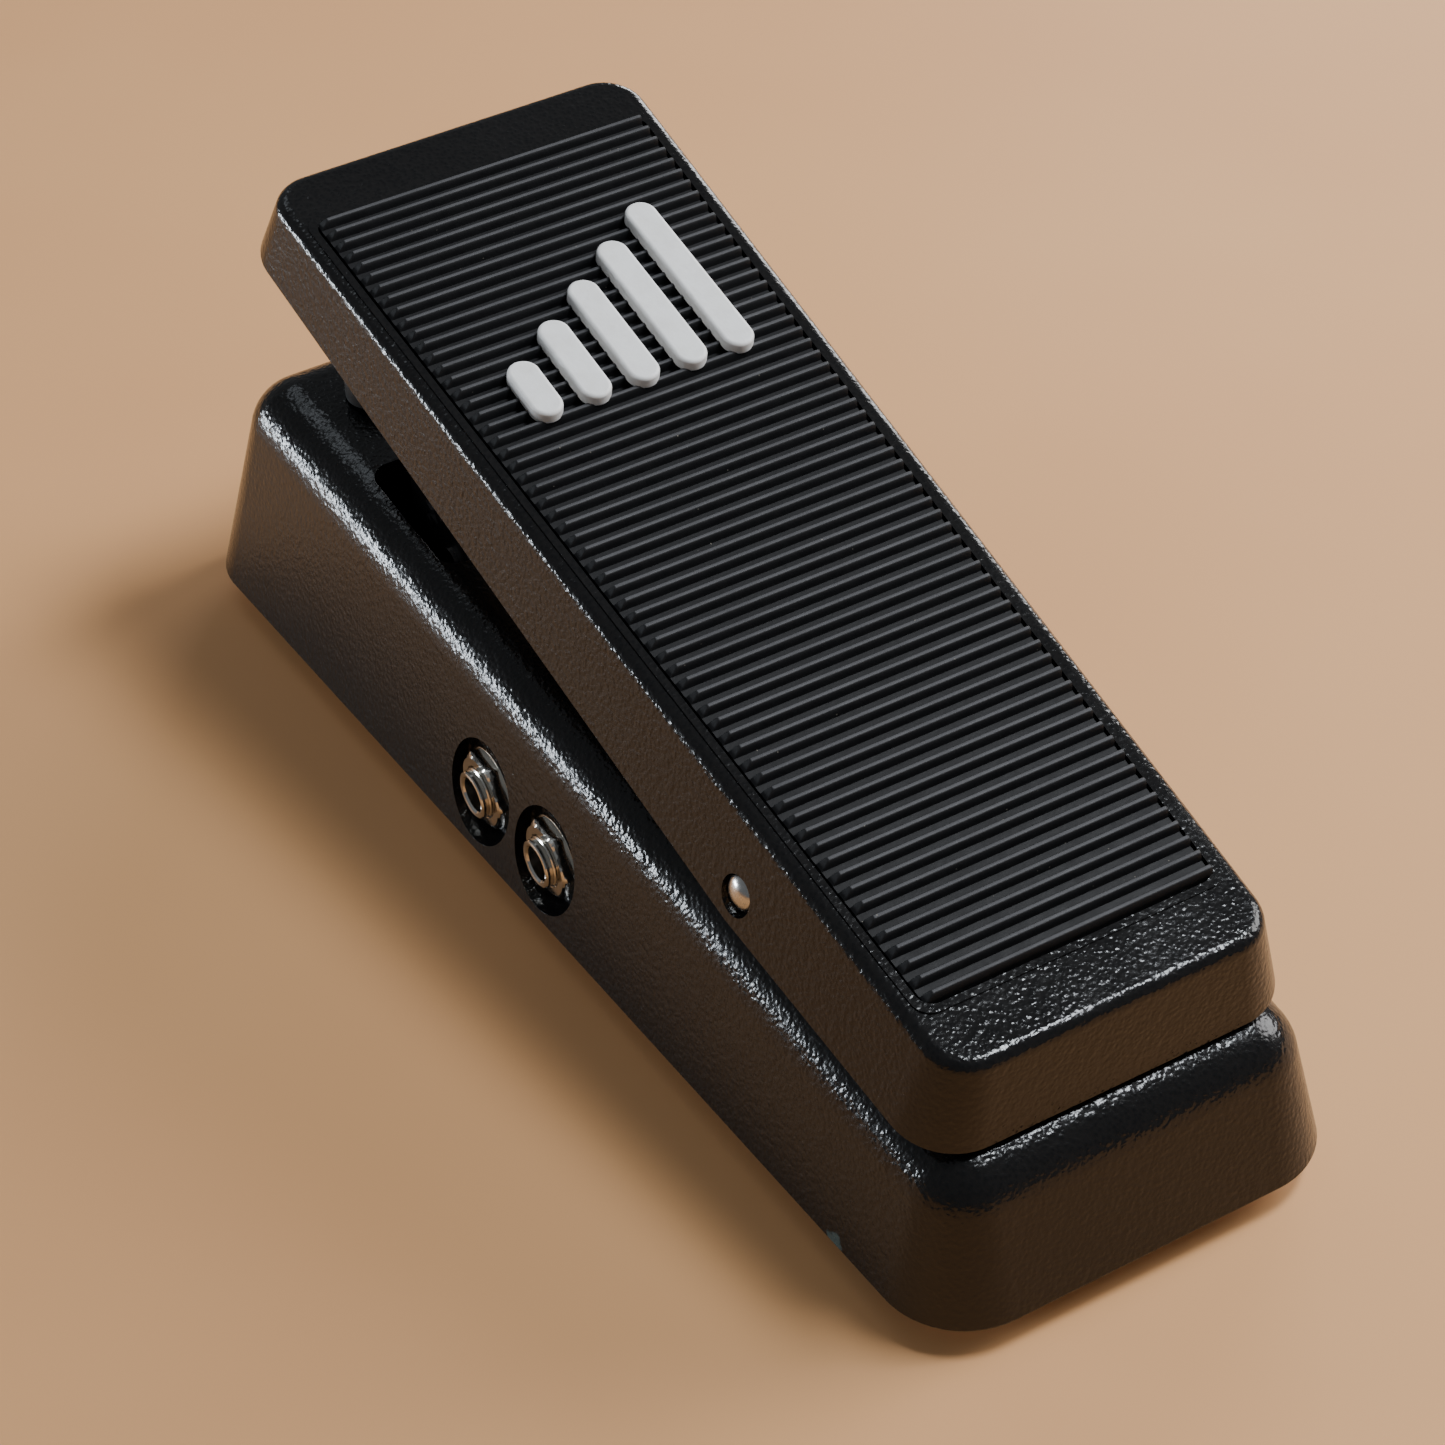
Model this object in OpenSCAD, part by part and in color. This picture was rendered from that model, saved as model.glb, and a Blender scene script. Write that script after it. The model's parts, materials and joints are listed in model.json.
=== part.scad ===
// Rocker volume pedal: cast wedge base, hinged treadle with ribbed mat,
// rack and pinion driving a potentiometer, two 1/4 inch jacks in the left wall.
// Millimetres. +X is the player's right, +Y points to the toe end, +Z is up.
// The origin is on the floor under the middle of the base.

/* [Base] */
// Length of the base, heel end to toe end
base_len = 252; // [240:1:264]
// Width of the base along its lower edge at the heel end
base_heel_w = 80.2; // [78:0.1:84]
// Width of the base along its lower edge at the toe end
base_toe_w = 102; // [98:0.5:106]
// Height of the base top above the floor at the heel end
base_heel_h = 33; // [32:0.1:33.6]
// Height of the base top above the floor at the toe end
base_toe_h = 49.6; // [48.5:0.1:50.2]
// Lean of the base walls from upright, degrees
base_draft = 12.2; // [10:0.1:13]
// Radius of the four upright corners at the lower edge
base_corner_r = 15.2; // [14:0.1:17]
// Radius of the rounded top edge
base_edge_r = 10.9; // [10:0.1:11.5]
// Wall thickness of the casting
base_wall = 3.5; // [3:0.1:4]

/* [Bottom] */
// Height of the rubber feet
foot_h = 4; // [3.5:0.1:5]
// Radius of a rubber foot
foot_r = 9; // [7:0.5:10]
// Thickness of the steel bottom plate
plate_t = 1.2; // [1:0.1:1.5]

/* [Treadle] */
// Length of the treadle
tread_len = 229.3; // [226:0.1:232]
// Width of the treadle skirt at the heel end
tread_heel_w = 73; // [72:0.1:74]
// Width of the treadle skirt at the toe end
tread_toe_w = 81.6; // [80:0.1:84]
// Slope of the treadle at rest, degrees
tread_tilt = 12; // [11.8:0.1:12.4]
// Distance from the base heel end to the treadle heel end
tread_start = 5.6; // [5:0.1:6.5]
// Height of the treadle top plane at its heel end
tread_heel_z = 50.4; // [50.2:0.1:51]
// Depth of the skirt at the heel end
skirt_heel = 16.3; // [15.5:0.1:17]
// Depth of the skirt beside the pivot, where it is deepest
skirt_mid = 19; // [18.8:0.1:19.2]
// Depth of the skirt at the toe end
skirt_toe = 12.2; // [12:0.1:13]
// Lean of the treadle walls, degrees
tread_draft = 13.9; // [12:0.1:15]
// Radius of the treadle corners at the lower edge
tread_corner_r = 11.6; // [10:0.1:13]
// Radius of the treadle top edge
tread_edge_r = 2; // [1.5:0.1:2.5]
// Wall thickness of the treadle
tread_wall = 3; // [2.6:0.1:3.2]

/* [Mat] */
// Width of the mat at the heel end
mat_heel_w = 53.6; // [50:0.1:54]
// Width of the mat at the toe end
mat_toe_w = 65.9; // [60:0.1:66]
// Distance along the treadle where the mat starts
mat_start = 19.2; // [18:0.1:20]
// Number of ribs across the mat
rib_count = 61; // [50:1:65]
// Spacing of the ribs
rib_pitch = 3.19; // [3:0.01:3.2]
// Width of a rib at its foot
rib_w = 1.8; // [1.5:0.1:2]
// Number of level bars in the raised emblem
emblem_bars_n = 5; // [3:1:5]

/* [Pivot] */
// Distance of the pivot along the treadle
pivot_along = 58.3; // [57:0.1:60]
// Depth of the pivot below the treadle top plane
pivot_drop = 13.6; // [13.4:0.1:13.8]
// Radius of the pivot pin
pivot_pin_r = 3.6; // [3.5:0.01:3.6]
// Swing from heel down to toe down, degrees
travel = 11; // [9:0.5:11]

/* [Gear] */
// Tooth module of rack and pinion
gear_module = 1; // [1:1:1]
// Number of teeth on the pinion
gear_teeth = 18; // [18:1:18]
// Position of the pinion across the pedal
gear_x = -24; // [-25:0.5:-23]
// Distance of the pinion from the base heel end
gear_from_heel = 184; // [182:0.5:185]
// Height of the pinion above the floor
gear_z = 35; // [34.8:0.1:35.2]

/* [Jacks] */
// Distance of the toe-side jack from the base heel end
jack_from_heel = 143; // [140:0.5:146]
// Distance between the two jacks
jack_spacing = 22.1; // [22:0.1:24]
// Height of the jacks above the floor
jack_z = 17.2; // [17:0.1:18]
// Radius of the jack socket bore, for a 6.35 mm plug
socket_r = 3.25; // [3.22:0.01:3.3]

/* [Hidden] */
$fn = 48;
eps = 0.01;

// ---- base geometry ----
hull_fn = 32;
y_heel = -base_len / 2;
shell_z = foot_h + plate_t;
base_lean = tan(base_draft);
function base_half(y) = (base_heel_w + (base_toe_w - base_heel_w) * (y - y_heel) / base_len) / 2;
function base_top(y) = base_heel_h + (base_toe_h - base_heel_h) * (y - y_heel) / base_len;
// How far in from the foot of the wall the centre of a top edge stands.
function edge_inset(h) = (h - base_edge_r - foot_h) * base_lean + base_edge_r / cos(base_draft);
heel_ball_y = y_heel + edge_inset(base_heel_h);
toe_ball_y = -y_heel - edge_inset(base_toe_h);
function ball_x(y) = base_half(y) - edge_inset(base_top(y));
function wall_x(y, z) = -(base_half(y) - (z - foot_h) * base_lean);

// ---- pivot and treadle frame ----
tread_y = y_heel + tread_start;
pivot_y = tread_y + pivot_along * cos(tread_tilt) + pivot_drop * sin(tread_tilt);
pivot_z = tread_heel_z + pivot_along * sin(tread_tilt) - pivot_drop * cos(tread_tilt);
tread_lean = tan(tread_draft);
// depth at which the heel end of the block would meet the line of the toe part of the skirt
skirt_ref = skirt_mid + (skirt_mid - skirt_toe) * pivot_along / (tread_len - pivot_along);
function tread_half(v) = (tread_heel_w + (tread_toe_w - tread_heel_w) * v / tread_len) / 2;
recess_depth = 1;
recess_gap = 0.6;
tread_top_t = 3.8;
hollow_drop = 4;
pedestal_half = 26;
pedestal_r = 8;
shoe_bottom = 24;
shoe_boss_r = 8;
shoe_bore_r = 5;
block_screw_x = 18;
block_screw_r = 2;
block_screw_z = base_top(pivot_y) - base_wall - 2.8;
block_screw_len = 10.4;
block_lift = 0.03;
set_screw_x = 30.5;
set_screw_r = 1.5;
bush_r = 6;
flange_r = 7.5;
flange_t = 1.5;
running_gap = 0.05;
pin_half = 36;

// ---- mat ----
mat_end = mat_start + (rib_count - 1) * rib_pitch + rib_w;
mat_floor = 0;
mat_top = 1.6;
function mat_half(v) = (mat_heel_w + (mat_toe_w - mat_heel_w) * (v - mat_start) / (mat_end - mat_start)) / 2;
emblem_start = 150;
emblem_rise = 2;
bar_w = 6;
bar_step = 9.5;
bar_first = 14;
bar_growth = 6.5;

// ---- rack and pinion ----
gear_y = y_heel + gear_from_heel;
pitch_r = gear_module * gear_teeth / 2;
rack_w = 4;
rack_half = rack_w / 2;
rack_body = 5.75;
tooth_pitch = PI * gear_module;
addendum = gear_module;
dedendum = 1.25 * gear_module;
mesh_gap = 0.1;
rack_line_y = gear_y + pitch_r + mesh_gap;
rack_root_y = rack_line_y + dedendum;
rack_pin_y = rack_root_y + rack_body / 2;
rack_pin_r = 1.5;
pin_reach = rack_pin_y - pivot_y;
rack_pin_z = pivot_z + pin_reach * tan(travel / 2);
rack_low = rack_pin_z - gear_z + 3.4;
rack_high = 3.4;
shaft_r = 3;
cheek_t = 2.6;
cheek_gap = 0.4;
cheek_r = 4;
bracket_x = -16.5;
bracket_t = 1.5;
pot_can_r = 8;
pot_can_len = 11;
pot_shaft_depth = 5;
boss_near = gear_y - 22;
boss_far = gear_y + 24.5;

// ---- slot in the base top ----
slot_x0 = -33;
slot_x1 = 1;
slot_y0 = gear_y - 12;
slot_y1 = rack_pin_y + 6.4;
slot_r = 4;

// ---- stops ----
bumper_r = 6;
toe_bumper_x = 21;
toe_bumper_y = y_heel + 223;
toe_bumper_h = 5;
heel_bumper_x = 18;
heel_bumper_y = y_heel + 24;
heel_bumper_h = 4;
stop_gap = 0.3;
stop_r = 4;

// ---- jacks ----
jack_toe_y = y_heel + jack_from_heel;
jack_heel_y = jack_toe_y - jack_spacing;
jack_recess_r = 9.8;
jack_recess_depth = 3;
jack_pad_t = 2.5;
jack_thread_r = 4.75;
jack_hole_r = 4.8;
jack_washer_r = 7.8;
jack_washer_t = 0.9;
jack_nut_af = 13;
jack_nut_t = 2.3;
jack_reach = 1.9;
frame_t = 1.2;
frame_r = 8.5;
function jack_floor(y) = wall_x(y, jack_z) + jack_recess_depth;

// ---- bottom screws ----
post_r = 5.5;
screw_r = 1.95;
screw_hole_r = 2;
screw_len = 12;
foot_heel_y = y_heel + 25;
foot_toe_y = -y_heel - 29;
foot_inset = 11.5;
function foot_x(y) = base_half(y) - foot_inset;

// Turns its children about the pivot axis by an angle.
module about_pivot(angle) {
    translate([0, pivot_y, pivot_z]) rotate([angle, 0, 0]) translate([0, -pivot_y, -pivot_z])
        children();
}

// Places its children in the treadle's own frame: y along it, z square to its top.
module on_treadle() {
    translate([0, tread_y, tread_heel_z]) rotate([tread_tilt, 0, 0]) children();
}

// A cylinder along X that starts at x and runs to higher x.
module bar_x(x, y, z, r, len) {
    translate([x, y, z]) rotate([0, 90, 0]) cylinder(r = r, h = len);
}

// A hexagonal prism along X.
module hex_x(x, y, z, across_flats, len) {
    translate([x, y, z]) rotate([0, 90, 0])
        cylinder(r = across_flats / 2 / cos(30), h = len, $fn = 6);
}

// An upright prism with round corners between two opposite corners.
module round_box(x0, x1, y0, y1, z0, z1, r) {
    translate([x0, y0 + r, z0]) cube([x1 - x0, y1 - y0 - 2 * r, z1 - z0]);
    translate([x0 + r, y0, z0]) cube([x1 - x0 - 2 * r, y1 - y0, z1 - z0]);
    for (x = [x0 + r, x1 - r], y = [y0 + r, y1 - r])
        translate([x, y, z0]) cylinder(r = r, h = z1 - z0);
}

// Outline of a tapered plate with round corners: half widths at each end.
function corner_arc(cx, cy, r, from) =
    [for (step = [0 : 6]) [cx + r * cos(from + step * 15), cy + r * sin(from + step * 15)]];
function tapered_outline(y0, y1, half0, half1, r) = concat(
    corner_arc(half0 - r, y0 + r, r, -90), corner_arc(half1 - r, y1 - r, r, 0),
    corner_arc(-half1 + r, y1 - r, r, 90), corner_arc(-half0 + r, y0 + r, r, 180));

// The wedge of the base, shrunk by an inset, from a given height up.
module base_body(inset, low) {
    hull() {
        for (y = [y_heel + base_corner_r, -y_heel - base_corner_r], side = [-1, 1])
            translate([side * (base_half(y) - base_corner_r), y, low])
                cylinder(r = base_corner_r - inset, h = 0.5, $fn = hull_fn);
        for (y = [heel_ball_y, toe_ball_y], side = [-1, 1])
            translate([side * ball_x(y), y, base_top(y) - base_edge_r])
                sphere(r = base_edge_r - inset, $fn = hull_fn);
    }
}

module screw_posts() {
    for (y = [foot_heel_y, foot_toe_y], side = [-1, 1])
        translate([side * foot_x(y), y, shell_z]) cylinder(r = post_r, h = base_top(y) - shell_z);
}

module jack_pads() {
    for (y = [jack_toe_y, jack_heel_y])
        translate([jack_floor(y) - 20, y - jack_spacing / 2 - eps, shell_z])
            cube([20 + jack_pad_t, jack_spacing + 2 * eps, jack_z + frame_r + 3 - shell_z]);
}

module bracket_bosses() {
    for (y = [boss_near, boss_far])
        translate([bracket_x + bracket_t, y - 4, gear_z - 12]) cube([9, 8, 30]);
}

// Holes for the two screws that hold the pivot block.
module block_screw_holes(r) {
    for (side = [-1, 1])
        translate([side * block_screw_x, pivot_y, block_screw_z - 1])
            cylinder(r = r, h = block_screw_len + 1.5);
}

module base_casting() {
    color([0.03, 0.03, 0.035]) difference() {
        base_body(0, shell_z);
        difference() {
            base_body(base_wall, shell_z - 1);
            screw_posts();
            jack_pads();
            bracket_bosses();
            translate([0, pivot_y, shoe_bottom]) cylinder(r = shoe_boss_r, h = base_heel_h);
        }
        translate([0, pivot_y, shoe_bottom - 1]) cylinder(r = shoe_bore_r, h = base_heel_h);
        block_screw_holes(block_screw_r + 0.1);
        round_box(slot_x0, slot_x1, slot_y0, slot_y1, gear_z - 3, base_toe_h + 5, slot_r);
        for (y = [jack_toe_y, jack_heel_y]) {
            bar_x(-70, y, jack_z, jack_recess_r, 70 + jack_floor(y));
            bar_x(-70, y, jack_z, jack_hole_r, 90);
        }
        for (y = [foot_heel_y, foot_toe_y], side = [-1, 1])
            translate([side * foot_x(y), y, 0]) cylinder(r = screw_hole_r, h = screw_len + 5);
        for (y = [boss_near, boss_far])
            bar_x(bracket_x, y, gear_z - 7, 1.3, 9);
    }
}

// Carries the pivot, and stands on the slope of the base's top.
module pivot_block() {
    color([0.03, 0.03, 0.035]) difference() {
        union() {
            bar_x(-pedestal_half, pivot_y, pivot_z, pedestal_r, 2 * pedestal_half);
            translate([-pedestal_half, 0, 0]) rotate([90, 0, 90]) linear_extrude(2 * pedestal_half)
                polygon([[pivot_y - pedestal_r, base_top(pivot_y - pedestal_r) + block_lift],
                    [pivot_y + pedestal_r, base_top(pivot_y + pedestal_r) + block_lift],
                    [pivot_y + pedestal_r, pivot_z], [pivot_y - pedestal_r, pivot_z]]);
        }
        bar_x(-pedestal_half - 1, pivot_y, pivot_z, bush_r + running_gap, 2 * pedestal_half + 2);
        translate([0, pivot_y, base_heel_h]) cylinder(r = shoe_bore_r, h = pivot_z - base_heel_h);
        block_screw_holes(block_screw_r + 0.02);
    }
}

// A screw that points up, with a cross recess in the underside of its head.
module cross_screw(head_r, head_h, shank_r, len) {
    recess_w = 0.8;
    recess_len = 4;
    color([0.6, 0.6, 0.62]) difference() {
        union() {
            cylinder(r = head_r, h = head_h);
            cylinder(r = shank_r, h = len);
        }
        for (turn = [0, 90])
            rotate([0, 0, turn]) translate([-recess_len / 2, -recess_w / 2, -1])
                cube([recess_len, recess_w, 2]);
    }
}

module pivot_block_screws() {
    for (side = [-1, 1])
        translate([side * block_screw_x, pivot_y, block_screw_z])
            cross_screw(3.5, 2.2, block_screw_r, block_screw_len);
}

module bottom_plate() {
    rim = 1.5;
    color([0.62, 0.62, 0.6]) difference() {
        translate([0, 0, foot_h]) linear_extrude(plate_t)
            polygon(tapered_outline(y_heel + rim, -y_heel - rim, base_heel_w / 2 - rim,
                base_toe_w / 2 - rim, base_corner_r - rim));
        for (y = [foot_heel_y, foot_toe_y], side = [-1, 1])
            translate([side * foot_x(y), y, 0]) cylinder(r = 2.2, h = 10);
        translate([0, pivot_y, 0]) cylinder(r = 5, h = 10);
    }
}

module foot(x, y) {
    color([0.05, 0.05, 0.05]) translate([x, y, 0]) difference() {
        union() {
            cylinder(r1 = foot_r - 0.8, r2 = foot_r, h = 1);
            translate([0, 0, 1]) cylinder(r = foot_r, h = foot_h - 1);
        }
        translate([0, 0, -1]) cylinder(r = 2.2, h = foot_h + 2);
        translate([0, 0, -1]) cylinder(r = 4.4, h = 3.2);
    }
}
module foot_heel_left() { foot(-foot_x(foot_heel_y), foot_heel_y); }
module foot_heel_right() { foot(foot_x(foot_heel_y), foot_heel_y); }
module foot_toe_left() { foot(-foot_x(foot_toe_y), foot_toe_y); }
module foot_toe_right() { foot(foot_x(foot_toe_y), foot_toe_y); }

module plate_screws() {
    head_z = 0.5;
    for (y = [foot_heel_y, foot_toe_y], side = [-1, 1])
        translate([side * foot_x(y), y, head_z]) cross_screw(3.9, 1.7, screw_r, screw_len);
}

// ---- pivot ----
module bush(side) {
    color([0.85, 0.84, 0.8]) translate([0, pivot_y, pivot_z]) rotate([0, 90 * side, 0]) difference() {
        union() {
            translate([0, 0, pedestal_half - 12]) cylinder(r = bush_r, h = 12);
            translate([0, 0, pedestal_half]) cylinder(r = flange_r, h = flange_t);
        }
        cylinder(r = pivot_pin_r + running_gap, h = pedestal_half + 10);
    }
}
module bush_left() { bush(-1); }
module bush_right() { bush(1); }

module friction_shoe() {
    color([0.75, 0.72, 0.6]) difference() {
        translate([0, pivot_y, pivot_z - 11]) cylinder(r = 4.9, h = 10);
        bar_x(-8, pivot_y, pivot_z, pivot_pin_r + running_gap, 16);
    }
}

module tension_screw() {
    color([0.3, 0.3, 0.32]) translate([0, pivot_y, pivot_z - 19]) difference() {
        cylinder(r = 4.95, h = 7.9);
        translate([0, 0, -1]) cylinder(r = 2.5, h = 5, $fn = 6);
    }
}

module pivot_pin() {
    color([0.75, 0.75, 0.76]) {
        chamfer = 1.4;
        bar_x(-pin_half + chamfer, pivot_y, pivot_z, pivot_pin_r, 2 * (pin_half - chamfer));
        for (side = [-1, 1])
            translate([side * (pin_half - chamfer), pivot_y, pivot_z]) rotate([0, 90 * side, 0])
                cylinder(r1 = pivot_pin_r, r2 = pivot_pin_r - chamfer, h = chamfer);
    }
}

// ---- stops ----
module toe_bumper(side) {
    color([0.06, 0.06, 0.06]) translate([side * toe_bumper_x, toe_bumper_y, base_top(toe_bumper_y)])
        difference() {
            translate([0, 0, 0.5]) cylinder(r = bumper_r, h = toe_bumper_h - 0.5);
            translate([0, 0, toe_bumper_h - 2]) cylinder(r = 1.5, h = 3);
        }
}
module toe_bumper_left() { toe_bumper(-1); }
module toe_bumper_right() { toe_bumper(1); }
module heel_bumper(side) {
    color([0.06, 0.06, 0.06]) translate([side * heel_bumper_x, heel_bumper_y, base_top(heel_bumper_y)])
        difference() {
            translate([0, 0, 0.5]) cylinder(r = bumper_r, h = heel_bumper_h - 0.5);
            translate([0, 0, heel_bumper_h - 2]) cylinder(r = 1.5, h = 3);
        }
}
module heel_bumper_left() { heel_bumper(-1); }
module heel_bumper_right() { heel_bumper(1); }

// ---- treadle ----
// The treadle block in its own frame, shrunk by an inset, top at a given height, foot lowered by a drop.
module tread_body(inset, top, drop) {
    top_r = tread_corner_r - 3.4;
    ring = tread_edge_r;
    hull() {
        for (end = [0, 1], side = [-1, 1]) {
            deep = end == 0 ? skirt_ref : skirt_toe;
            v_low = end == 0 ? tread_corner_r : tread_len - tread_corner_r;
            translate([side * (tread_half(v_low) - tread_corner_r), v_low, -deep - drop])
                cylinder(r = tread_corner_r + drop * tread_lean - inset, h = 0.4, $fn = hull_fn);
            shrink = deep * tread_lean;
            v_top = end == 0 ? shrink + top_r : tread_len - shrink - top_r;
            translate([side * (tread_half(v_top) - shrink - top_r), v_top, top - ring])
                rotate_extrude($fn = hull_fn) {
                    square([top_r - inset - ring, ring]);
                    translate([top_r - inset - ring, 0]) intersection() {
                        circle(r = ring, $fn = 16);
                        square(ring);
                    }
                }
        }
    }
}

// Everything below the lower edge of the skirt, which bends beside the pivot.
module below_skirt() {
    toe_slope = atan((skirt_mid - skirt_toe) / (tread_len - pivot_along));
    heel_slope = atan((skirt_mid - skirt_heel) / pivot_along);
    for (slope = [toe_slope, -heel_slope])
        translate([0, pivot_along, -skirt_mid]) rotate([slope, 0, 0])
            translate([-60, -tread_len, -30]) cube([120, 2 * tread_len, 30]);
}

module pin_boss(side) {
    translate([0, pivot_y, pivot_z]) rotate([0, 90 * side, 0])
        translate([0, 0, pedestal_half + flange_t + 0.3]) cylinder(r = flange_r, h = 8);
}

module rack_cheek(x) {
    arm_top = 29;
    bar_x(x, rack_pin_y, rack_pin_z, cheek_r, cheek_t);
    translate([x, rack_pin_y - cheek_r, rack_pin_z]) cube([cheek_t, cheek_r + 1.5, arm_top]);
}

module stop_posts() {
    for (side = [-1, 1]) {
        translate([side * heel_bumper_x, heel_bumper_y,
            base_top(heel_bumper_y) + heel_bumper_h + stop_gap]) cylinder(r = stop_r, h = 13.2);
        about_pivot(travel) translate([side * toe_bumper_x, toe_bumper_y,
            base_top(toe_bumper_y) + toe_bumper_h + stop_gap]) cylinder(r = stop_r, h = 11);
    }
}

module treadle_casting() {
    color([0.03, 0.03, 0.035]) difference() {
        union() {
            on_treadle() difference() {
                tread_body(0, 0, 0);
                difference() {
                    tread_body(tread_wall, -tread_top_t, hollow_drop);
                    pin_boss_room();
                }
                below_skirt();
            }
            rack_cheek(gear_x - rack_half - cheek_gap - cheek_t);
            rack_cheek(gear_x + rack_half + cheek_gap);
            stop_posts();
        }
        on_treadle() translate([0, 0, -recess_depth]) linear_extrude(5)
            polygon(tapered_outline(mat_start - recess_gap, mat_end + recess_gap,
                mat_half(mat_start) + recess_gap, mat_half(mat_end) + recess_gap, 3));
        bar_x(-60, pivot_y, pivot_z, pivot_pin_r + 0.02, 120);
        bar_x(-60, rack_pin_y, rack_pin_z, rack_pin_r + 0.05, 60);
        for (side = [-1, 1])
            translate([side * set_screw_x, pivot_y, pivot_z - 12]) cylinder(r = set_screw_r, h = 10);
    }
}

// Pivot bosses as material kept inside the treadle's hollow.
module pin_boss_room() {
    rotate([-tread_tilt, 0, 0]) translate([0, -tread_y, -tread_heel_z])
        for (side = [-1, 1]) pin_boss(side);
}

module emblem_shape(grow) {
    for (bar = [0 : emblem_bars_n - 1]) {
        x = (bar - (emblem_bars_n - 1) / 2) * bar_step;
        len = bar_first + bar * bar_growth - bar_w;
        translate([x - bar_w / 2 - grow, emblem_start + bar_w / 2]) square([bar_w + 2 * grow, len]);
        for (v = [emblem_start + bar_w / 2, emblem_start + bar_w / 2 + len])
            translate([x, v]) circle(r = bar_w / 2 + grow);
    }
}

module tread_mat() {
    slope = 0.35;
    profile = [for (rib = [0 : rib_count - 1]) let (v = mat_start + rib * rib_pitch) each [
        [v, rib == 0 ? -recess_depth : mat_floor], [v + slope, mat_top],
        [v + rib_w - slope, mat_top], [v + rib_w, rib == rib_count - 1 ? -recess_depth : mat_floor]]];
    color([0.07, 0.07, 0.075]) on_treadle() difference() {
        intersection() {
            translate([-mat_toe_w, 0, 0]) rotate([90, 0, 90]) linear_extrude(2 * mat_toe_w) polygon(profile);
            translate([0, 0, -recess_depth - 1]) linear_extrude(mat_top + recess_depth + 2)
                polygon([[mat_half(mat_start), mat_start - 1], [mat_half(mat_end), mat_end + 1],
                    [-mat_half(mat_end), mat_end + 1], [-mat_half(mat_start), mat_start - 1]]);
        }
        translate([0, 0, mat_floor]) linear_extrude(5) emblem_shape(0);
    }
}

module emblem_bars() {
    color([0.9, 0.9, 0.88]) on_treadle() translate([0, 0, mat_floor])
        linear_extrude(mat_top - mat_floor + emblem_rise) emblem_shape(-0.05);
}

module pin_set_screws() {
    color([0.25, 0.25, 0.27]) for (side = [-1, 1])
        translate([side * set_screw_x, pivot_y, pivot_z - flange_r]) difference() {
            cylinder(r = set_screw_r - 0.05, h = flange_r - pivot_pin_r - 0.05);
            translate([0, 0, -1]) cylinder(r = 0.8, h = 2.2, $fn = 6);
        }
}

// ---- rack drive ----
rack_pin_x0 = gear_x - rack_half - cheek_gap - cheek_t - 1.6;
rack_pin_x1 = gear_x + rack_half + cheek_gap + cheek_t + 1.6;
module rack_pin() {
    color([0.7, 0.7, 0.7])
        bar_x(rack_pin_x0, rack_pin_y, rack_pin_z, rack_pin_r, rack_pin_x1 - rack_pin_x0);
}

module rack_clips() {
    color([0.5, 0.5, 0.52])
        for (x = [rack_pin_x0 + 0.6, rack_pin_x1 - 1.2]) difference() {
            bar_x(x, rack_pin_y, rack_pin_z, 2.8, 0.6);
            bar_x(x - 1, rack_pin_y, rack_pin_z, rack_pin_r + 0.02, 3);
        }
}

module rack() {
    half_tooth = tooth_pitch / 4 - 0.06;
    flank = tan(20);
    tip = half_tooth - addendum * flank;
    root = half_tooth + dedendum * flank;
    first = -floor((rack_low - (rack_pin_z - gear_z) - root) / tooth_pitch);
    last = floor((rack_pin_z + rack_high - gear_z - root) / tooth_pitch);
    bottom = rack_pin_z - rack_low;
    top = rack_pin_z + rack_high;
    back = rack_root_y + rack_body;
    teeth = [for (tooth = [last : -1 : first]) let (z = gear_z + tooth * tooth_pitch) each [
        [rack_root_y, z + root], [rack_line_y - addendum, z + tip],
        [rack_line_y - addendum, z - tip], [rack_root_y, z - root]]];
    color([0.12, 0.12, 0.13]) difference() {
        translate([gear_x - rack_half, 0, 0]) rotate([90, 0, 90]) linear_extrude(rack_w)
            polygon(concat([[rack_root_y, top]], teeth,
                [[rack_root_y, bottom], [back, bottom], [back, top]]));
        bar_x(gear_x - rack_w, rack_pin_y, rack_pin_z, rack_pin_r + 0.05, 2 * rack_w);
    }
}

// Involute tooth outline of the pinion, a gap centred on +Y.
function involute(base_r, t) = [base_r * (cos(t) + t * PI / 180 * sin(t)),
    base_r * (sin(t) - t * PI / 180 * cos(t))];
function turned(p, a) = [p[0] * cos(a) - p[1] * sin(a), p[0] * sin(a) + p[1] * cos(a)];
module pinion_outline() {
    pressure = 20;
    base_r = pitch_r * cos(pressure);
    tip_r = pitch_r + addendum;
    root_r = pitch_r - dedendum;
    roll_tip = sqrt(pow(tip_r / base_r, 2) - 1) * 180 / PI;
    roll_pitch = tan(pressure) * 180 / PI;
    slack = 0.35;
    half_at_pitch = 90 / gear_teeth - slack;
    start = half_at_pitch + roll_pitch - pressure;
    flank_steps = 5;
    points = [for (tooth = [0 : gear_teeth - 1]) let (mid = (tooth + 0.5) * 360 / gear_teeth) each concat(
        [turned([root_r, 0], mid - start)],
        [for (i = [0 : flank_steps]) turned(involute(base_r, roll_tip * i / flank_steps), mid - start)],
        [for (i = [flank_steps : -1 : 0])
            let (p = involute(base_r, roll_tip * i / flank_steps)) turned([p[0], -p[1]], mid + start)],
        [turned([root_r, 0], mid + start)])];
    polygon(points);
}

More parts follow.
